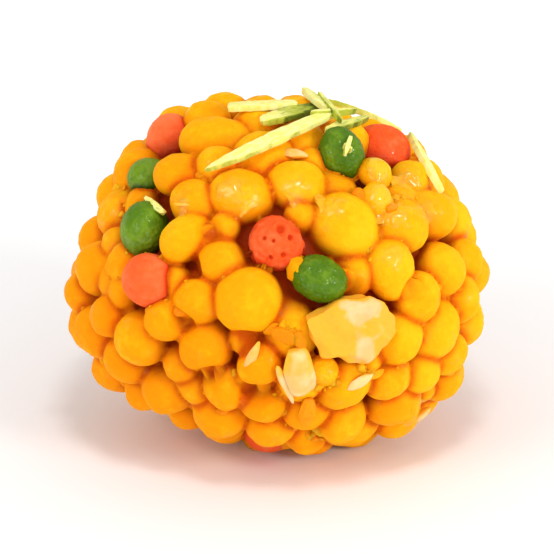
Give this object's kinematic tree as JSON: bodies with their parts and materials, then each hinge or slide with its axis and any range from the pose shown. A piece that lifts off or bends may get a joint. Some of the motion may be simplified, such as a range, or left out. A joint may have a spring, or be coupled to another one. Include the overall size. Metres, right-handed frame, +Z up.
{
  "type": "boondi ladoo",
  "caption": "Hand-rolled ball of fried gram-flour drops in syrup, with dyed drops, broken cashew, melon seeds and pistachio slivers, resting on a small flat spot.",
  "frame": {"origin": "middle of the small flat spot under the ball", "axes": "+Z up, +X to the right seen from the shown side, -Y towards the viewer"},
  "size_m": [0.0468, 0.0426, 0.0388],
  "materials": {
    "boondi": "glossy syrup-soaked fried gram flour, deep yellow",
    "boondi_red": "glossy syrup-soaked fried gram flour, dyed red",
    "boondi_green": "glossy syrup-soaked fried gram flour, dyed green",
    "cashew": "satin cream nut, stained by syrup",
    "seed": "satin pale melon seed",
    "pistachio": "matte pale yellow-green nut with green skin"
  },
  "bodies": {
    "root": {"ladoo": "boondi", "cashew_piece_1": "cashew", "cashew_piece_2": "cashew", "cashew_piece_3": "cashew"}
  },
  "joints": []
}
